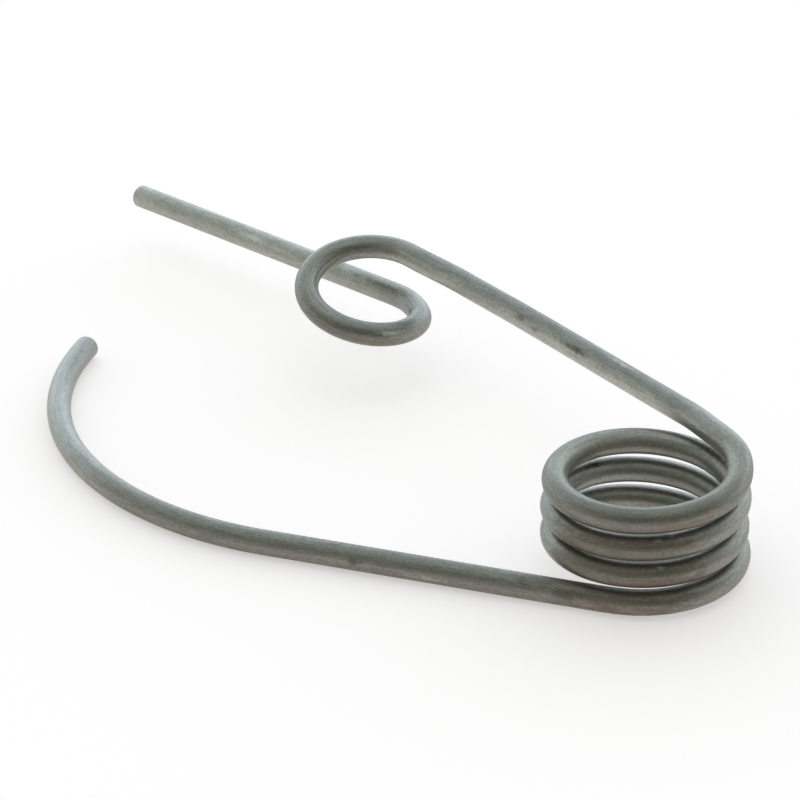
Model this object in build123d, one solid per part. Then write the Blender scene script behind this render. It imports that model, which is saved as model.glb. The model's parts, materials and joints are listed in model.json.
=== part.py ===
from build123d import *
import os
from math import atan, cos, pi

# Lever spring, in millimetres.
# One round steel wire, formed cold: a wide hook, a lower arm, an open coil, an upper arm, a small eye and
# a straight tail. The origin is on the coil's axis, in the plane that the lower arm lies on.
# +Z goes up along the coil, and the lower arm runs out along -X.

# Wire
wire_diameter = 3.2
end_rounding = 0.4

# Coil, which fits over the lever's pivot
coil_bore = 19.0
coil_pitch = 3.95
coil_full_turns = 3
arm_angle = 34.0
levelling_radius = 60.0

# Lower arm with its hook, which closes a little more in its far half
lower_arm_length = 42.5
hook_near_radius = 45.0
hook_near_angle = 44.0
hook_far_radius = 41.0
hook_far_angle = 46.0

# Upper arm with its eye and tail
upper_arm_length = 60.5
eye_bore = 12.4
eye_sink = 7.5
eye_full_turns = 1
tail_angle = 11.5
tail_length = 52.5

# Worked out from the sizes above
wire_radius = wire_diameter / 2
coil_radius = coil_bore / 2 + wire_radius
coil_turns = coil_full_turns + (180 - arm_angle) / 360
coil_lead = atan(coil_pitch / (2 * pi * coil_radius)) * 180 / pi
eye_radius = eye_bore / 2 + wire_radius
eye_turns = eye_full_turns + tail_angle / 360
eye_lead = atan(eye_sink / (2 * pi * eye_radius)) * 180 / pi


# A place on the wire is a plane with its X along the wire and its Z square to the flat bends. Each stretch
# is drawn in the plane of the place where it starts, and the next one starts at its far end.


def place_on_wire(point, heading, upwards):
    """The plane at a point of the wire, with its Z as near to upwards as the heading lets it be."""
    leftwards = upwards.cross(heading)
    return Plane(origin=point, x_dir=heading, z_dir=heading.cross(leftwards))


def far_end(place, stretch):
    """The place where a stretch ends, turned with the wire but not about it."""
    return place_on_wire(stretch @ 1, stretch % 1, place.z_dir)


def straight(place, length):
    """A straight stretch."""
    return place * Line((0, 0), (length, 0))


def flat_bend(place, radius, angle):
    """A bend in the place's plane, to the left where the angle is positive."""
    return place * JernArc((0, 0), (1, 0), radius, angle)


def upward_bend(place, radius, angle):
    """A bend square to the place's plane, upwards where the angle is positive."""
    upright = Plane(origin=place.origin, x_dir=place.x_dir, z_dir=-place.y_dir)
    return upright * JernArc((0, 0), (1, 0), radius, angle)


def sinking_turns(place, radius, sink, turns, lead):
    """Turns to the left that sink as they go. Their axis leans, so the wire enters them with no kink."""
    centre = place.origin + place.y_dir * radius
    downwards = (-place.z_dir).rotate(Axis(centre, place.y_dir), -lead)
    leaning = Plane(origin=centre, x_dir=-place.y_dir, z_dir=downwards)
    return leaning * Helix(sink, sink * turns, radius, lefthand=True)


# The coil rises from its front, where the lower arm leaves it. Its two ends are bent level, each over
# a short arc that takes out the coil's lead, so that both arms lie square to the coil's axis.
up = Vector(0, 0, 1)
foot_height = wire_radius + levelling_radius * (1 - cos(coil_lead * pi / 180))
foot = Plane(origin=(0, 0, foot_height), x_dir=(0, -1, 0))
coil = foot * Helix(coil_pitch, coil_pitch * coil_turns, coil_radius)

# Lower side, followed from the coil's foot to the hook's end
place = place_on_wire(coil @ 0, -(coil % 0), up)
lower_levelling = upward_bend(place, levelling_radius, coil_lead)
place = far_end(place, lower_levelling)
lower_arm = straight(place, lower_arm_length)
place = far_end(place, lower_arm)
hook_near = flat_bend(place, hook_near_radius, -hook_near_angle)
place = far_end(place, hook_near)
hook_far = flat_bend(place, hook_far_radius, -hook_far_angle)

# Upper side, followed from the coil's head to the tail's end
place = place_on_wire(coil @ 1, coil % 1, up)
upper_levelling = upward_bend(place, levelling_radius, -coil_lead)
place = far_end(place, upper_levelling)
upper_arm = straight(place, upper_arm_length)
place = far_end(place, upper_arm)
eye = sinking_turns(place, eye_radius, eye_sink, eye_turns, eye_lead)
place = far_end(place, eye)
tail = straight(place, tail_length)

# The whole wire is one round section taken along the whole line
centre_line = Wire(
    [hook_far, hook_near, lower_arm, lower_levelling, coil, upper_levelling, upper_arm, eye, tail]
)
section = Plane(origin=centre_line @ 0, z_dir=centre_line % 0) * Circle(wire_radius)
spring_wire = sweep(section, path=centre_line)

# The two sheared ends have their rims worn round
cut_ends = spring_wire.faces().filter_by(GeomType.PLANE)
spring_wire = fillet(cut_ends.edges(), end_rounding)

os.makedirs("parts", exist_ok=True)
export_step(spring_wire, "parts/spring_wire.step")
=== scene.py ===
# %% [markdown]
# # A lever spring in drawn steel wire
#
# The spring is one length of round steel wire. A wide hook, a straight lower arm, a coil of nearly
# three and a half turns, an upper arm, a small eye and a straight tail follow each other with no
# joint between them.
#
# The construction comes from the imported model, which is loaded first and never changed. This script
# dresses it: it sweeps the wire afresh with the small faults that a real spring has, gives it a
# drawn steel finish, and sets up a floor, a soft light and a camera.

# %% Load the construction
import json
import math

import bpy
from mathutils import Matrix, Vector
from mathutils.bvhtree import BVHTree


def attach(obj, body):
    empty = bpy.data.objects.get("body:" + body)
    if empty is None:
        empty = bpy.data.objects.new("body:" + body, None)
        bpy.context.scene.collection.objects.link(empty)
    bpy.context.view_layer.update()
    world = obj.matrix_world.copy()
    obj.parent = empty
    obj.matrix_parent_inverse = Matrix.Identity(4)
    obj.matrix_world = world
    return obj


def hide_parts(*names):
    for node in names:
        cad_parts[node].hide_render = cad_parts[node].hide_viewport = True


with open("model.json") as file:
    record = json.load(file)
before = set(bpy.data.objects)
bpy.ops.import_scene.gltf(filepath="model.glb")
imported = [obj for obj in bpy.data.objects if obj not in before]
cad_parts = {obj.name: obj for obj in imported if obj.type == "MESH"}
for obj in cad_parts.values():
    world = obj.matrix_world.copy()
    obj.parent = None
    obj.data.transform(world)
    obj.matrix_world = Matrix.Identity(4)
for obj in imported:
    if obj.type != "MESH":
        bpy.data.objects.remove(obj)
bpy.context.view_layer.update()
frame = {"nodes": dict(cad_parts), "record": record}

MM = 0.001
WIRE_NODE = "spring_wire"

# %% [markdown]
# ## Sizes
#
# The wire's thickness, the coil's bore and the eye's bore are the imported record's own mounts, so
# they can't drift away from the construction. The lengths and bends between them are the ones that
# the spring is formed to. They are written once here, in metres and degrees, as a spring maker's
# drawing would give them.

# %% Sizes of the wire and its bends
mounts = {mount["name"]: mount["dims"] for mount in frame["record"]["mounts"]}
wire_radius = mounts["tail_pin"]["r_mm"] * MM
coil_radius = mounts["coil_bore"]["r_mm"] * MM + wire_radius
eye_radius = mounts["eye"]["r_mm"] * MM + wire_radius

coil_pitch = 3.95 * MM
coil_full_turns = 3
arm_angle = 34.0
levelling_radius = 60.0 * MM

lower_arm_length = 42.5 * MM
hook_near_radius = 45.0 * MM
hook_near_angle = 44.0
hook_far_radius = 41.0 * MM
hook_far_angle = 46.0

upper_arm_length = 60.5 * MM
eye_sink = 7.5 * MM
tail_angle = 11.5
tail_length = 52.5 * MM

print("wire, mm:", round(2 * wire_radius / MM, 2))
print("coil, mm:", round(2 * (coil_radius + wire_radius) / MM, 2))

# %% [markdown]
# ## Following the wire
#
# A bent wire is easiest to describe by walking along it: go straight, bend left, bend up, wind a
# turn. One small class keeps the place on the wire, which is a point, the way ahead, and the way
# up. One function makes every bend: a flat bend is a helix with no rise, and an upward bend is a
# flat bend of a wire rolled by a quarter turn. A curve drawn by hand would do too, but its bends
# would be neither round nor tangent.

# %% A place on the wire, and the stretches between places
station_spacing = 0.5 * MM


class Place:
    """A point of the wire, with the way ahead and the way up."""

    def __init__(self, point, ahead, up):
        self.point = Vector(point)
        self.ahead = Vector(ahead).normalized()
        self.up = Vector(up).normalized()

    @property
    def left(self):
        return self.up.cross(self.ahead)

    def turned_back(self):
        return Place(self.point, -self.ahead, self.up)


def steps_along(length):
    """Even shares of a stretch, without its start and with its end."""
    count = max(1, round(length / station_spacing))
    return [(step + 1) / count for step in range(count)]


def straight(place, length):
    """A straight stretch: its points and the place where it ends."""
    points = [place.point + place.ahead * length * share for share in steps_along(length)]
    return points, Place(points[-1], place.ahead, place.up)


def bend(place, radius, angle, rise=0.0):
    """A bend to the left, or to the right for a negative angle, that rises by so much in each turn."""
    lead = math.atan(rise / (2 * math.pi * radius))
    axis = place.up * math.cos(lead) + place.ahead * math.sin(lead)
    spoke = -place.left * math.copysign(radius, angle)
    centre = place.point - spoke
    full = math.radians(angle)
    points = []
    for share in steps_along(abs(full) * radius / math.cos(lead)):
        climb = axis * rise * abs(full) * share / (2 * math.pi)
        points.append(centre + Matrix.Rotation(full * share, 3, axis) @ spoke + climb)
    whole_turn = Matrix.Rotation(full, 3, axis)
    return points, Place(points[-1], whole_turn @ place.ahead, whole_turn @ place.up)


def bend_upwards(place, radius, angle):
    """A bend upwards, or downwards where the angle is negative."""
    points, end = bend(Place(place.point, place.ahead, -place.left), radius, angle)
    return points, Place(end.point, end.ahead, end.left)


# %% [markdown]
# ## The centre line
#
# The walk starts where the coil stands on its foot. From there the coil climbs to its head. At both
# ends a short bend takes out the coil's climb, so the arms lie level. The hook's side is walked
# outwards from the foot as well, and then turned round, so the finished line runs from the hook's
# cut end to the tail's. A smooth curve through measured points could look much the same, but it
# would not say to what radius or angle the wire is bent.

# %% Walk along the whole wire
coil_turns = coil_full_turns + (180.0 - arm_angle) / 360.0
coil_lead = math.atan(coil_pitch / (2 * math.pi * coil_radius))
foot_height = wire_radius + levelling_radius * (1 - math.cos(coil_lead))

eastwards, upwards = Vector((1, 0, 0)), Vector((0, 0, 1))
foot = Place(
    (0, -coil_radius, foot_height),
    eastwards * math.cos(coil_lead) + upwards * math.sin(coil_lead),
    upwards * math.cos(coil_lead) - eastwards * math.sin(coil_lead),
)
coil_line, head = bend(foot, coil_radius, 360.0 * coil_turns, rise=coil_pitch)

lower_levelling, place = bend_upwards(foot.turned_back(), levelling_radius, math.degrees(coil_lead))
lower_arm, place = straight(place, lower_arm_length)
hook_near, place = bend(place, hook_near_radius, -hook_near_angle)
hook_far, hook_end = bend(place, hook_far_radius, -hook_far_angle)

upper_levelling, place = bend_upwards(head, levelling_radius, -math.degrees(coil_lead))
upper_arm, place = straight(place, upper_arm_length)
eye_line, place = bend(place, eye_radius, 360.0 + tail_angle, rise=-eye_sink)
tail, tail_end = straight(place, tail_length)

print("hook end, mm:", [round(c / MM, 2) for c in hook_end.point])
print("tail end, mm:", [round(c / MM, 2) for c in tail_end.point])

# %% [markdown]
# ## The coil is not quite even
#
# Wire springs back by a slightly different amount at each place, so the turns of a cold-wound coil
# never lie perfectly evenly. The photograph shows light between some turns and none between others.
# The heights below say how far each quarter turn lies above or below an even coil: every turn hangs
# a little on its right side. The middle turns also lie a little to the left, and the lower turns
# more so than the upper ones. A smooth curve through the heights spreads them over the turns and
# leaves both ends of the coil where they are. A coil built perfectly even would be simpler, but its
# gaps would show light where the real one shows none.

# %% Let the turns lie as they sprang back
# One row for each turn, from the lowest: its front, right, back and left. The last one has no left.
quarter_turn_heights = [
    height * MM
    for turn in (
        (0.00, -0.45, -0.43, 0.36),
        (-0.08, -0.66, -0.36, 0.10),
        (-0.32, -0.64, -0.24, -0.10),
        (-0.58, -0.84, 0.00),
    )
    for height in turn
]
lean_leftwards = 0.37 * MM
lean_skew = 0.65


def smooth_through(heights, at):
    """A smooth curve through evenly spaced heights, level at both ends."""
    padded = [heights[1], *heights, heights[-2]]
    first = min(int(at), len(heights) - 2)
    share = at - first
    before, start, end, after = padded[first:first + 4]
    linear = (end - before) * share
    square = (2 * before - 5 * start + 4 * end - after) * share ** 2
    cube = (3 * start - before - 3 * end + after) * share ** 3
    return start + (linear + square + cube) / 2


def sprung_back(points):
    """The coil's points, moved to where the wire lies."""
    quarters = 4 * coil_turns
    whole_quarters = len(quarter_turn_heights) - 2
    moved = []
    for number, point in enumerate(points, start=1):
        at = quarters * number / len(points)
        if at > whole_quarters:
            at = whole_quarters + (at - whole_quarters) / (quarters - whole_quarters)
        share = (number / len(points)) ** lean_skew
        lean = -lean_leftwards * math.sin(math.pi * share) ** 2
        moved.append(point + Vector((lean, 0, smooth_through(quarter_turn_heights, at))))
    heights = [new.z - old.z for new, old in zip(moved, points)]
    print("turns lie off by, mm:", round(min(heights) / MM, 2), "to", round(max(heights) / MM, 2))
    return moved


lower_side = [foot.point, *lower_levelling, *lower_arm, *hook_near, *hook_far]
wire_line = lower_side[::-1] + sprung_back(coil_line) + upper_levelling + upper_arm + eye_line + tail
print("points on the centre line:", len(wire_line))

# %% [markdown]
# ## The upper arm is not quite straight
#
# A wire does not leave a bend at one point. Where the upper arm leaves the coil, and again at both
# ends of the eye, the wire cuts the corner by up to half a millimetre, and the arm bows a little
# the other way between them. Each pair below is a distance along the wire from the coil's head and
# a move to the left of the way along it. Between two pairs the wire goes over smoothly from one
# move to the next. Shorter arcs in the walk could cut the corners too, but they would shift all
# that follows, and the arm would still be dead straight.

# %% Let the arm bow between the coil and the eye
arm_moves = [
    (distance * MM, move * MM)
    for distance, move in (
        (-5.5, 0.00),
        (0.2, 0.50),
        (6.5, 0.02),
        (41.0, -0.24),
        (53.0, -0.10),
        (66.0, 0.50),
        (77.0, 0.00),
        (106.5, 0.00),
        (112.2, 0.35),
        (117.8, 0.00),
    )
]


def move_at(distance):
    """The move to the left at a distance from the coil's head."""
    for (start, first), (end, second) in zip(arm_moves, arm_moves[1:]):
        if start <= distance <= end:
            share = (distance - start) / (end - start)
            return first + (second - first) * share * share * (3 - 2 * share)
    return 0.0


def bowed(points, head_distance):
    """The points, each moved sideways by what its distance from the coil's head asks for."""
    moved = []
    distance = -head_distance
    for before, point, after in zip(points[:1] + points[:-1], points, points[1:] + points[-1:]):
        distance += (point - before).length
        left = upwards.cross(after - before).normalized()
        moved.append(point + left * move_at(distance))
    return moved


def length_of(points):
    """How long the line through these points is."""
    return sum((after - before).length for before, after in zip(points[:-1], points[1:]))


wire_line = bowed(wire_line, length_of(lower_side) + length_of(coil_line))
print("wire, cut length, mm:", round(length_of(wire_line) / MM, 1))

# %% [markdown]
# ## Extra points at the two cut ends
#
# The rims of a cut end are worn round, and its face is very slightly domed. Both shapes lie within
# the last half millimetre of the wire, so the centre line needs points closer together there. They
# are placed where each ring of the rounded rim and of the face will lie. A bevel on the finished
# mesh would round the rims too, but it would leave the faces flat.

# %% Points for the rounded rims and the cut faces
rim_rounding = 0.40 * MM
clear_of_rim = 1.3 * rim_rounding
face_dome = 0.05 * MM
rim_rings = 7
face_rings = 6
points_to_aim_by = 3


def end_distances():
    """How far each ring of a cut end lies from the very end of the wire, nearest first."""
    flat_share = 1 - rim_rounding / wire_radius
    face = [face_dome * (flat_share * ring / face_rings) ** 2 for ring in range(1, face_rings + 1)]
    seat = face[-1]
    rim = [
        seat + (rim_rounding - seat) * (1 - math.cos(math.pi / 2 * ring / rim_rings))
        for ring in range(1, rim_rings + 1)
    ]
    return face + rim


def with_end_points(points):
    """The line with the rings' points put in at its start."""
    end, inner = points[0], points[points_to_aim_by]
    way = (inner - end).normalized()
    rings = [end + way * distance for distance in end_distances()]
    return [end] + rings + [point for point in points if (point - end).length > clear_of_rim]


wire_line = with_end_points(wire_line)
wire_line = with_end_points(wire_line[::-1])[::-1]
print("points with the ends' rings:", len(wire_line))

# %% [markdown]
# ## Sums written as sums
#
# Both the wire's shape and its finish are worked out by nodes. Long sums are hard to read as a web
# of nodes, so a small class stands for a node's output and lets Python's own signs add the Math
# nodes. Every other node comes from one method, which takes the node's type, its settings and what
# goes into its sockets.

# %% A class for node outputs, and one for node trees
class Output:
    """A node's output socket, which can be used in sums."""

    def __init__(self, socket):
        self.socket = socket

    def graph(self):
        """The tree that the node stands in."""
        return Graph(self.socket.id_data)

    def other(self, name):
        """Another output of the same node."""
        return Output(self.socket.node.outputs[name])

    def is_vector(self):
        return self.socket.type in ("VECTOR", "RGBA")

    def combined(self, operation, first, second):
        """Two values put through one Math node, or a Vector Math node where either is a vector."""
        vectors = any(isinstance(side, Output) and side.is_vector() for side in (first, second))
        kind = "ShaderNodeVectorMath" if vectors else "ShaderNodeMath"
        return self.graph().node(kind, {"operation": operation}, {0: first, 1: second})

    def __add__(self, other):
        return self.combined("ADD", self, other)

    def __radd__(self, other):
        return self.combined("ADD", other, self)

    def __sub__(self, other):
        return self.combined("SUBTRACT", self, other)

    def __rsub__(self, other):
        return self.combined("SUBTRACT", other, self)

    def __mul__(self, other):
        return self.combined("MULTIPLY", self, other)

    def __rmul__(self, other):
        return self.combined("MULTIPLY", other, self)

    def __truediv__(self, other):
        return self.combined("DIVIDE", self, other)

    def __pow__(self, other):
        return self.combined("POWER", self, other)

    def least(self, other):
        return self.combined("MINIMUM", self, other)

    def most(self, other):
        return self.combined("MAXIMUM", self, other)

    def dot(self, other):
        node = self.combined("DOT_PRODUCT", self, other)
        return node.other("Value")

    def length(self):
        node = self.graph().node("ShaderNodeVectorMath", {"operation": "LENGTH"}, {0: self})
        return node.other("Value")

    def root(self):
        return self.graph().node("ShaderNodeMath", {"operation": "SQRT"}, {0: self})

    def step(self, start, end):
        """0 below the start, 1 above the end and smooth between them."""
        settings = {"interpolation_type": "SMOOTHSTEP"}
        values = {"From Min": start, "From Max": end, "Value": self}
        return self.graph().node("ShaderNodeMapRange", settings, values)


class Graph:
    """A node tree, with one method that adds any node."""

    def __init__(self, tree):
        self.tree = tree

    def node(self, kind, settings=None, values=None, out=0):
        made = self.tree.nodes.new(kind)
        for name, setting in (settings or {}).items():
            setattr(made, name, setting)
        for name, value in (values or {}).items():
            self.feed(self.find(made.inputs, name), value)
        return Output(self.find(made.outputs, out)) if made.outputs else made

    def find(self, sockets, name):
        """A socket by its number, its identifier or its name."""
        if isinstance(name, int):
            return sockets[name]
        exact = [socket for socket in sockets if socket.identifier == name]
        named = [socket for socket in sockets if socket.name == name]
        return (exact or named)[0]

    def feed(self, socket, value):
        """Links an output to the socket, or sets the socket to a plain value."""
        if isinstance(value, Output):
            self.tree.links.new(value.socket, socket)
        elif isinstance(value, (int, float)) and socket.type == "VECTOR":
            socket.default_value = (value,) * 3
        else:
            socket.default_value = value

    def mix(self, share, first, second):
        """A colour between two colours."""
        values = {"Factor_Float": share, "A_Color": first, "B_Color": second}
        return self.node("ShaderNodeMix", {"data_type": "RGBA"}, values, out="Result_Color")


# %% [markdown]
# ## The drawn steel finish
#
# Spring wire is pulled cold through a row of dies. Each die scores it lengthwise, which leaves a
# satin surface with fine lines that follow the wire round every bend. An image wrapped round the
# wire could show this, but it would have a seam and a fixed sharpness. Here the sweep stores each
# point's place on the wire as if it were still straight: two coordinates across it and one along
# it. Noise that is read there and stretched lengthwise gives lines that bend with the wire.

# %% Noise on the straight wire
PLACE_NAME = "wire_place"
detail_roughness = 0.6

steel = bpy.data.materials.new("drawn_spring_steel")
steel.use_nodes = True
steel.node_tree.nodes.clear()
finish = Graph(steel.node_tree)

raw_place = finish.node("ShaderNodeAttribute", {"attribute_name": PLACE_NAME}, out="Vector")
straight_place = raw_place * (1 / MM)
along_mm = finish.node("ShaderNodeSeparateXYZ", values={"Vector": straight_place}).other("Z")


def streaks(across, along, detail, seed):
    """Noise read on the straight wire, with so many features to a millimetre across and along it."""
    stretched = straight_place * (across, across, along) + (seed, 0.0, 0.0)
    values = {"Vector": stretched, "Scale": 1.0, "Detail": detail, "Roughness": detail_roughness}
    return finish.node("ShaderNodeTexNoise", {"noise_dimensions": "3D"}, values)


grain = streaks(across=6.0, along=3.0, detail=2.0, seed=3.0)
die_lines = streaks(across=3.6, along=0.22, detail=2.0, seed=11.0)
mottling = streaks(across=1.0, along=0.45, detail=4.0, seed=23.0)
drift = streaks(across=0.25, along=0.07, detail=2.0, seed=37.0)
speckle = streaks(across=2.4, along=1.5, detail=1.0, seed=53.0)
print("nodes for the noise:", len(steel.node_tree.nodes))

# %% [markdown]
# ## Rubbed ends and a dull coil
#
# What the spring holds rubs its ends bright, so the tail and the hook are the lightest parts.
# Nothing rubs the coil, and a thin brown tarnish stays on it and on the arm beside it. Across the
# front of the lower turns the wire is darker still, with a faint warm tint. This is painted shade
# for the shadowed floor that those fronts reflect, and it goes through the same share as the
# tarnish. Tarnish is an oxide, so it is not only darker and browner than the steel but also less
# metallic and less smooth, and the painted shade takes these over with it. The upper arm and the
# tail have weathered to a matt, slightly yellow grey instead. Along its side towards the hook the
# arm is painted lighter, a painted reflection of the bright floor, and its other side is painted a
# little darker as painted shade. The bore's left side and its inside near the coil's head are
# painted lighter too, as painted light.
#
# Each of these is a share between 0 and 1, worked out from the place on the straight wire or round
# the coil's axis, and the shares lay their tints over the bare steel. Painting them by hand on an
# unwrapped wire would be quicker once, but the paint would have to be done again after every change
# of the wire.

# %% Where each stretch of the wire begins
near_length = hook_near_radius * math.radians(hook_near_angle)
far_length = hook_far_radius * math.radians(hook_far_angle)
hook_length = near_length + far_length
levelling_length = levelling_radius * coil_lead
coil_starts = (hook_length + lower_arm_length + levelling_length) / MM
coil_ends = coil_starts + 2 * math.pi * coil_radius * coil_turns / math.cos(coil_lead) / MM
eye_starts = coil_ends + (levelling_length + upper_arm_length) / MM
tail_starts = eye_starts + 2 * math.pi * eye_radius * (1 + tail_angle / 360.0) / MM
starts = (coil_starts, eye_starts, tail_starts)
print("coil, eye and tail start, mm:", [round(start, 1) for start in starts])


def stretch(start, end, blur):
    """1 on this stretch of the wire, in mm from the hook's cut end, and 0 off it, with soft ends."""
    return along_mm.step(start - blur, start + blur) - along_mm.step(end - blur, end + blur)


# %% Where the wire is dull, and the painted shade on the coil's front
# Painted shade: a darker patch across the front of the lower turns, for the shadowed floor they
# reflect
front_shade_middle = (1.0, -12.7, 6.5)
front_shade_size = (18.0, 7.0, 7.5)
front_shade_strength = 0.84
front_shade_raggedness = 0.8
bore_fade = (-1.2, 0.6)

on_object = finish.node("ShaderNodeTexCoord", out="Object") * (1 / MM)
from_axis = (on_object * (1.0, 1.0, 0.0)).length()
facing_bore = 1 - from_axis.step(coil_radius / MM + bore_fade[0], coil_radius / MM + bore_fade[1])
from_front_shade = ((on_object - front_shade_middle) / front_shade_size).length()
off_front_shade = (from_front_shade + (mottling - 0.5) * front_shade_raggedness).step(0.55, 1.15)
front_shade_share = front_shade_strength - off_front_shade * front_shade_strength

# The last number of each line says how dull the stretch is
unevenness = (mottling * 0.5 + drift * 0.5).step(0.30, 0.70)
dull_arm = stretch(coil_starts - 72.0, coil_starts, blur=12.0) * 0.37
dull_coil = stretch(coil_starts, coil_ends, blur=10.0) * 0.28
dull_top = stretch(coil_ends - 54.0, coil_ends - 6.0, blur=8.0) * 0.30
dull_eye = stretch(eye_starts + 3.0, tail_starts + 2.0, blur=10.0) * 0.34
dull_share = (dull_arm + dull_coil + dull_top + dull_eye) * (0.7 + unevenness * 0.6)
# The share of the tarnish, and of the painted shade on the coil's front
tarnish_and_shade_share = dull_share.most(front_shade_share)
print("nodes with the dull parts:", len(steel.node_tree.nodes))

# %% Where the wire is bright, and where light is painted on the upper arm and in the bore
# Painted light and shade on the upper arm: one side painted lighter as a painted reflection, the other
# darker
lit_side_angle = math.radians(-150.0)

on_hook_tip = (1 - along_mm.step(10.0, 45.0)) * 0.6
on_tail = along_mm.step(tail_starts - 4.0, tail_starts + 9.0)
on_arm = stretch(coil_ends + 4.0, eye_starts + 2.0, blur=8.0)
weathered_share = on_arm + on_tail
side_way = (math.cos(lit_side_angle), math.sin(lit_side_angle), 0.0)
lit_side = (straight_place * (MM / wire_radius)).dot(side_way).step(-0.20, 1.05)
# Painted light: the bore's left side and its inside near the coil's head are made lighter
bore_left = 1 - on_object.dot((1.0, 0.0, 0.0)).step(-8.0, 3.0)
bore_top = stretch(coil_ends - 14.0, coil_ends, blur=8.0)
lit_bore_share = facing_bore * stretch(coil_starts, coil_ends, blur=10.0) * bore_left.most(bore_top)
print("nodes with the bright parts:", len(steel.node_tree.nodes))

# %% Colours and tints of the steel
steel_dark = (0.250, 0.248, 0.223, 1.0)
steel_light = (0.388, 0.384, 0.350, 1.0)
rubbed_steel = (0.335, 0.335, 0.312, 1.0)
plain_tint = (1.0, 1.0, 1.0, 1.0)
# The tint of the painted light in the bore
lit_bore_tint = (1.40, 1.41, 1.41, 1.0)
rubbed_tint = (1.34, 1.35, 1.36, 1.0)
tarnish_and_shade_tint = (0.56, 0.53, 0.475, 1.0)
# A faint warm tint for the painted shade on the coil's front
front_shade_tint = (1.05, 1.00, 0.99, 1.0)
weathered_tint = (1.005, 1.00, 0.985, 1.0)
# Painted shade and painted light for the upper arm's two sides
shaded_side_tint = (0.87, 0.87, 0.87, 1.0)
lit_side_tint = (1.65, 1.65, 1.66, 1.0)


def tinted(colour, share, tint):
    """The colour, with the tint laid over it where the share is above 0."""
    return colour * finish.mix(share, plain_tint, tint)


texture_share = (grain * 0.50 + die_lines * 0.27 + mottling * 0.23).step(0.36, 0.64)
wire_colour = finish.mix(texture_share, steel_dark, steel_light)
wire_colour = finish.mix(on_hook_tip, wire_colour, rubbed_steel)
# Tarnish, together with the painted shade on the coil's front, laid over the steel
wire_colour = tinted(wire_colour, tarnish_and_shade_share, tarnish_and_shade_tint)
wire_colour = tinted(wire_colour, on_tail, rubbed_tint)
wire_colour = tinted(wire_colour, weathered_share, weathered_tint)
# The warm tint of the painted shade on the coil's front
wire_colour = tinted(wire_colour, front_shade_share, front_shade_tint)
# Painted shade on one side of the upper arm and painted light on the other
wire_colour = tinted(wire_colour, on_arm, finish.mix(lit_side, shaded_side_tint, lit_side_tint))
# Painted light in the bore
wire_colour = tinted(wire_colour, lit_bore_share, lit_bore_tint)
print("nodes with the colours:", len(steel.node_tree.nodes))

# %% [markdown]
# ## Rust and rubbed marks
#
# Single marks give a wire its age more than any even pattern does. The ones that the photograph
# shows are placed one by one, each by its distance along the wire from the hook's cut end and its
# angle round the wire. Their edges are made ragged with fine noise, so no mark looks stamped on.
# Marks strewn by noise alone would be less work, but they would be as many on every stretch, and
# the real ones are few.

# %% A patch on the wire
patch_raggedness = 1.8


def patch(along, angle, length, width, strength):
    """So much of a soft ragged patch, with its place and its size in mm and degrees."""
    turn = math.radians(angle)
    radius = wire_radius / MM
    middle = (radius * math.cos(turn), radius * math.sin(turn), along)
    away = (straight_place - middle) * (2 / width, 2 / width, 2 / length)
    ragged = away.length() + (speckle - 0.5) * patch_raggedness
    return (1 - ragged.step(0.1, 1.3)) * strength


def marked(colour, mark_colour, marks):
    """The colour with these marks laid over it."""
    for mark in marks:
        colour = finish.mix(patch(*mark), colour, mark_colour)
    return colour


# %% Single marks
# Along the wire in mm, round it in degrees, length in mm, width in mm, strength
# Most of the olive-brown marks are dirt and specks; those noted in the list are painted shade instead
olive_brown = (0.105, 0.095, 0.058, 1.0)
rust_brown = (0.230, 0.105, 0.055, 1.0)
pale_steel = (0.760, 0.760, 0.710, 1.0)

wire_colour = marked(wire_colour, olive_brown, [
    (389.7, -81.0, 2.0, 0.9, 0.45),
    (386.5, -95.0, 1.6, 0.8, 0.5),
    (378.5, -80.0, 4.5, 0.9, 0.65),
    (377.0, -74.0, 3.2, 1.0, 0.65),
    # Painted shade on the top of the eye
    (419.7, -100.0, 10.0, 1.8, 0.3),
    (469.0, -112.0, 13.0, 0.8, 0.5),
    (9.0, -122.0, 17.0, 1.0, 0.32),
    (80.0, -10.0, 1.8, 1.3, 0.6),
    # Painted shade, partly dark dirt, in the crevice where the upper arm crosses the top turn; the
    # second also darkens the turn's highlight there
    (282.0, -46.0, 6.0, 2.0, 0.9),
    (283.0, -2.0, 9.0, 2.0, 1.0),
    # These two are painted shade where two turns nearly touch at the back of the coil
    (299.3, -165.0, 2.4, 1.2, 0.9),
    (228.6, -76.0, 3.2, 1.3, 0.9),
    (458.9, -117.0, 1.6, 1.2, 0.6),
    (446.0, 42.0, 24.0, 1.8, 0.45),
])
wire_colour = marked(wire_colour, rust_brown, [
    (261.0, 9.0, 1.5, 0.7, 0.55),
    (261.5, 34.0, 4.0, 1.2, 0.15),
    (330.0, 66.0, 9.0, 1.2, 0.25),
    (187.0, 60.0, 14.0, 1.8, 0.35),
    (113.0, 12.0, 13.0, 2.4, 0.18),
    (114.0, 45.0, 13.0, 2.0, 0.18),
])
wire_colour = marked(wire_colour, pale_steel, [
    (516.5, -128.0, 7.0, 3.2, 0.28),
    (493.8, -127.0, 6.5, 0.9, 0.75),
    (488.5, -135.0, 5.0, 0.6, 0.5),
    (450.3, -9.0, 3.4, 0.7, 0.75),
    (369.8, -22.0, 6.0, 0.6, 0.4),
    (89.5, 10.0, 6.0, 0.6, 0.35),
    (257.9, -18.0, 0.9, 0.6, 0.5),
    (259.4, -36.0, 0.8, 0.6, 0.4),
    (188.4, -36.0, 0.9, 0.6, 0.45),
])
print("nodes with the marks:", len(steel.node_tree.nodes))

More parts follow.
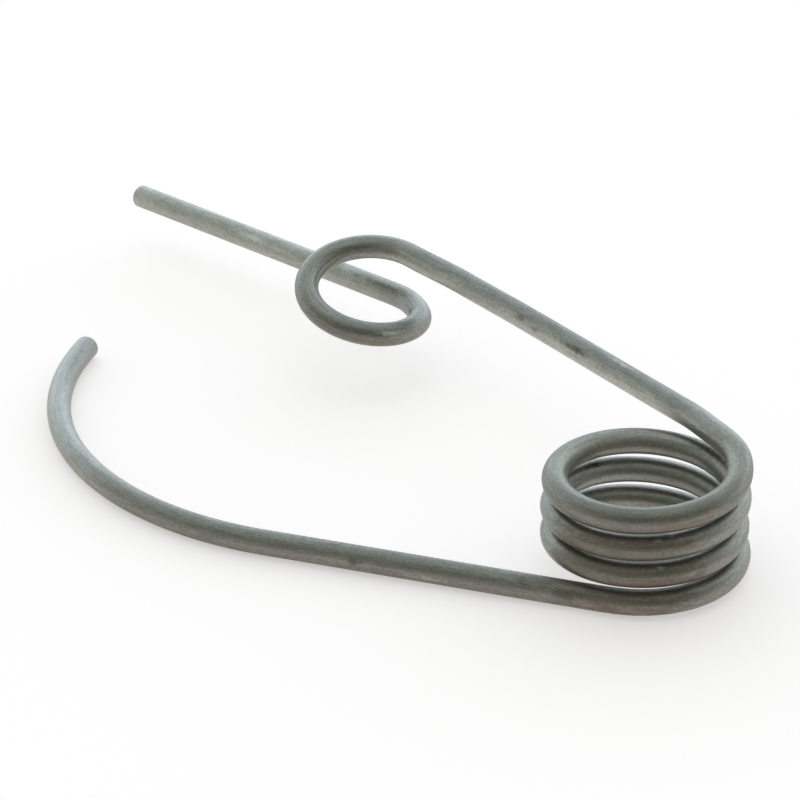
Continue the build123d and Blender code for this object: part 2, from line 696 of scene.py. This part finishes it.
# %% [markdown]
# ## From the colour to a surface
#
# Bare steel is a metal with a satin polish. Tarnish and weather are thin layers on it that are
# neither, so where they lie the surface is less metallic and rougher. The drawing lines are only a
# hundredth of a millimetre deep. That is too fine for the mesh, so a bump in the surface's normal
# shows them.

# %% The steel's surface
bare_roughness = 0.43
line_depth = 0.012 * MM

# The painted shade on the coil's front goes through the tarnish's share, so it is less metallic and
# rougher too
wire_metallic = 1 - 0.30 * tarnish_and_shade_share - 0.20 * weathered_share
wire_roughness = bare_roughness + 0.06 * tarnish_and_shade_share + 0.15 * weathered_share
wire_roughness = wire_roughness + 0.25 * dull_arm - 0.08 * texture_share
relief = finish.node(
    "ShaderNodeBump",
    values={"Strength": 1.0, "Distance": line_depth, "Height": grain * 0.5 + die_lines * 0.5},
)
surface = finish.node(
    "ShaderNodeBsdfPrincipled",
    values={
        "Base Color": wire_colour,
        "Metallic": wire_metallic,
        "Roughness": wire_roughness,
        "Normal": relief,
    },
)
finish.node("ShaderNodeOutputMaterial", values={"Surface": surface})
print("nodes in the finish:", len(steel.node_tree.nodes))

# %% [markdown]
# ## Sweeping the wire
#
# A round section taken along the centre line is a rule, so Geometry Nodes make the wire. The tree
# turns the points into a curve, works out how thick the wire is at each of them from the distance
# to the nearer end, and sweeps a circle along it. On the way it stores the straight-wire
# coordinates that the finish reads. A bevelled curve object would give the tube as well, but
# neither the worn rims nor those coordinates.

# %% Build the sweep as a node tree
sweep_tree = bpy.data.node_groups.new("sweep_wire", "GeometryNodeTree")
sweep = Graph(sweep_tree)
ports = sweep_tree.interface
ports.new_socket("Geometry", in_out="INPUT", socket_type="NodeSocketGeometry")
size_inputs = {
    "Wire Radius": wire_radius,
    "Rim Rounding": rim_rounding,
    "Face Dome": face_dome,
}
port_ids = {
    name: ports.new_socket(name, in_out="INPUT", socket_type="NodeSocketFloat").identifier
    for name in size_inputs
}
port_ids["Points Around"] = ports.new_socket(
    "Points Around", in_out="INPUT", socket_type="NodeSocketInt"
).identifier
port_ids["Finish"] = ports.new_socket(
    "Finish", in_out="INPUT", socket_type="NodeSocketMaterial"
).identifier
ports.new_socket("Geometry", in_out="OUTPUT", socket_type="NodeSocketGeometry")
print("what the sweep asks for:", list(port_ids))

# %% Work out the wire's thickness at each point
given = sweep.node("NodeGroupInput", out="Geometry")
radius_in = given.other("Wire Radius")
rounding_in = given.other("Rim Rounding")
dome_in = given.other("Face Dome")
thinnest_face = 0.00001

line = sweep.node("GeometryNodeMeshToCurve", values={"Mesh": given})
along = sweep.node("GeometryNodeSplineParameter", out="Length")
whole_length = sweep.node("GeometryNodeSplineLength", out="Length")
from_end = along.least(whole_length - along)
rim_depth = 1 - (from_end / rounding_in).least(1.0)
rim_share = 1 - (rounding_in / radius_in) * (1 - (1 - rim_depth * rim_depth).most(0.0).root())
face_share = (from_end / dome_in).most(thinnest_face).root()
thickness = rim_share.least(face_share)


# %% Sweep the circle along the line
def captured(geometry, kind, value):
    """Holds a value on the geometry's points, as it is there and then."""
    made = sweep_tree.nodes.new("GeometryNodeCaptureAttribute")
    made.domain = "POINT"
    made.capture_items.new(kind, "held")
    sweep.feed(made.inputs["Geometry"], geometry)
    sweep.feed(made.inputs[1], value)
    return Output(made.outputs["Geometry"]), Output(made.outputs[1])


line, held_along = captured(line, "FLOAT", along)
line, held_thickness = captured(line, "FLOAT", thickness)
circle = sweep.node(
    "GeometryNodeCurvePrimitiveCircle",
    values={"Resolution": given.other("Points Around"), "Radius": radius_in},
)
circle, held_across = captured(circle, "VECTOR", sweep.node("GeometryNodeInputPosition"))
tube = sweep.node(
    "GeometryNodeCurveToMesh",
    values={"Curve": line, "Profile Curve": circle, "Scale": held_thickness, "Fill Caps": True},
)
across = held_across * held_thickness
on_straight_wire = across + sweep.node("ShaderNodeCombineXYZ", values={"Z": held_along})
tube = sweep.node(
    "GeometryNodeStoreNamedAttribute",
    {"data_type": "FLOAT_VECTOR", "domain": "POINT"},
    {"Geometry": tube, "Name": PLACE_NAME, "Value": on_straight_wire},
)
tube = sweep.node("GeometryNodeSetShadeSmooth", values={"Geometry": tube, "Shade Smooth": True})
tube = sweep.node("GeometryNodeRealizeInstances", values={"Geometry": tube})
tube = sweep.node(
    "GeometryNodeSetMaterial",
    values={"Geometry": tube, "Material": given.other("Finish")},
)
sweep.node("NodeGroupOutput", values={"Geometry": tube})
print("nodes in the sweep:", len(sweep_tree.nodes))

# %% [markdown]
# ## One wire, kept as a mesh
#
# The tree needs an object to work on. A mesh with nothing but the line's points carries it, its
# result is taken over as a plain mesh, and the line is thrown away. Forty points round the wire are
# enough for its outline to look round at this distance. The new wire is then measured against the
# construction, whose place it takes.

# %% Sweep the wire and keep it as a plain mesh
points_around = 40


def swept_wire(name, points):
    """The wire along these points, as a plain mesh object in the construction's own frame."""
    guide_mesh = bpy.data.meshes.new(name + "_line")
    guide_mesh.from_pydata(points, [(n, n + 1) for n in range(len(points) - 1)], [])
    guide = bpy.data.objects.new(name + "_line", guide_mesh)
    bpy.context.scene.collection.objects.link(guide)
    modifier = guide.modifiers.new("Sweep", "NODES")
    modifier.node_group = sweep_tree
    for title, size in size_inputs.items():
        modifier[port_ids[title]] = size
    modifier[port_ids["Points Around"]] = points_around
    modifier[port_ids["Finish"]] = steel
    evaluated = guide.evaluated_get(bpy.context.evaluated_depsgraph_get())
    mesh = bpy.data.meshes.new_from_object(evaluated)
    guide.modifiers.remove(modifier)
    bpy.data.objects.remove(guide)
    mesh.name = name
    wire = bpy.data.objects.new(name, mesh)
    bpy.context.scene.collection.objects.link(wire)
    return wire


wire = swept_wire("formed_wire", wire_line)
print("triangles:", sum(len(face.vertices) - 2 for face in wire.data.polygons))

# %% Set the wire against the construction
cad_mesh = frame["nodes"][WIRE_NODE]
cad_tree = BVHTree.FromPolygons(
    [vertex.co for vertex in cad_mesh.data.vertices],
    [list(face.vertices) for face in cad_mesh.data.polygons],
)
gaps = [cad_tree.find_nearest(vertex.co)[3] for vertex in wire.data.vertices]
print("furthest from the construction, mm:", round(max(gaps) / MM, 3))
print("mean distance, mm:", round(sum(gaps) / len(gaps) / MM, 3))

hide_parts(WIRE_NODE)
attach(wire, "root")

# %% [markdown]
# ## Floor and light
#
# The spring lies on a plain white floor. The floor is a matt white that is lifted to full white
# where the camera or a reflection sees it, and its own shading stays on top of that, so the spring
# keeps its shadow.
#
# Bare metal shows little but what is around it. The photograph's metal says that the room is bright
# and cool low down behind the spring, lit a little from above and from both sides, and dark on the
# side of the camera. A few smooth sweeps of grey in the world do that, with no lamp whose edge
# could show on the wire.

# %% Floor
# The floor's white is a little warm, which makes up for the blue of the light from behind
floor_size = 6.0
floor_colour = (0.85, 0.77, 0.755, 1.0)
floor_lift = 0.44

half = floor_size / 2
corners = [(-half, -half, 0), (half, -half, 0), (half, half, 0), (-half, half, 0)]
floor_mesh = bpy.data.meshes.new("floor")
floor_mesh.from_pydata(corners, [], [(0, 1, 2, 3)])
floor = bpy.data.objects.new("floor", floor_mesh)
bpy.context.scene.collection.objects.link(floor)

paint = bpy.data.materials.new("white_floor")
paint.use_nodes = True
paint.node_tree.nodes.clear()
floor_paint = Graph(paint.node_tree)
seen = floor_paint.node("ShaderNodeLightPath", out="Is Camera Ray")
seen_at_all = seen.most(seen.other("Is Glossy Ray")).most(seen.other("Is Transmission Ray"))
matt = floor_paint.node("ShaderNodeBsdfDiffuse", values={"Color": floor_colour})
glow = floor_paint.node("ShaderNodeEmission", values={"Strength": seen_at_all * floor_lift})
both = floor_paint.node("ShaderNodeAddShader", values={0: matt, 1: glow})
floor_paint.node("ShaderNodeOutputMaterial", values={"Surface": both})
floor_mesh.materials.append(paint)
print("floor, m:", floor_size)

# %% Light
view_turn = 21.49
back_turn = 9.9
back_light = (1.710, 1.990, 2.300, 1.0)
above_light = (0.750, 0.865, 0.910, 1.0)
left_light = (0.450, 0.470, 0.400, 1.0)
right_light = (0.310, 0.300, 0.230, 1.0)
black = (0.0, 0.0, 0.0, 1.0)
back_sharpness = 2.55
above_sharpness = 8.0
side_sharpness = 2.0
levelness_falloff = 0.75


def level_way(turn):
    """The level direction that lies so many degrees round from +Y, towards -X."""
    return (-math.sin(math.radians(turn)), math.cos(math.radians(turn)), 0.0)


room = bpy.data.worlds.new("room")
bpy.context.scene.world = room
room.use_nodes = True
room.node_tree.nodes.clear()
light = Graph(room.node_tree)
looking = light.node("ShaderNodeTexCoord", out="Generated")
height = looking.dot((0.0, 0.0, 1.0)).most(0.0)
levelness = (1 - height * height).most(0.0) ** levelness_falloff


def share_towards(turn, sharpness):
    """1 in this level direction, 0 in the opposite one, and falling off smoothly between them."""
    return (looking.dot(level_way(turn)) * 0.5 + 0.5).most(0.0) ** sharpness


room_colour = light.mix(share_towards(back_turn, back_sharpness) * levelness, black, back_light)
room_colour = room_colour + light.mix(height ** above_sharpness, black, above_light)
leftwards = share_towards(view_turn + 90.0, side_sharpness)
room_colour = room_colour + light.mix(leftwards, black, left_light)
rightwards = share_towards(view_turn - 90.0, side_sharpness)
room_colour = room_colour + light.mix(rightwards, black, right_light)
background = light.node("ShaderNodeBackground", values={"Color": room_colour, "Strength": 1.0})
light.node("ShaderNodeOutputWorld", values={"Surface": background})
print("nodes in the light:", len(room.node_tree.nodes))

# %% [markdown]
# ## Camera
#
# The camera stands a little under half a metre away and looks down on the spring. Its turn, its
# drop and its slight roll were found by laying the spring's outline over the photograph. A wider
# lens from nearer would frame the spring as well, but it would draw the near coil too large beside
# the far tail.

# %% Camera
view_drop = 27.95
view_roll = -1.87
view_distance = 424.1 * MM
view_target = Vector((-31.1, -1.42, 18.98)) * MM
view_lens = 156.33
film_width = 36.0
nearest_seen = 0.01
furthest_seen = 20.0

camera_data = bpy.data.cameras.new("camera")
camera_data.lens = view_lens
camera_data.sensor_width = film_width
camera_data.clip_start = nearest_seen
camera_data.clip_end = furthest_seen
camera = bpy.data.objects.new("camera", camera_data)
bpy.context.scene.collection.objects.link(camera)
aim = (
    Matrix.Rotation(math.radians(view_turn), 4, "Z")
    @ Matrix.Rotation(math.radians(90.0 - view_drop), 4, "X")
    @ Matrix.Rotation(math.radians(view_roll), 4, "Z")
)
camera_point = view_target + aim.to_3x3() @ Vector((0, 0, view_distance))
camera.matrix_world = Matrix.Translation(camera_point) @ aim
bpy.context.scene.camera = camera
bpy.context.scene.view_settings.view_transform = "Standard"
print("camera stands at, mm:", [round(c / MM) for c in camera_point])
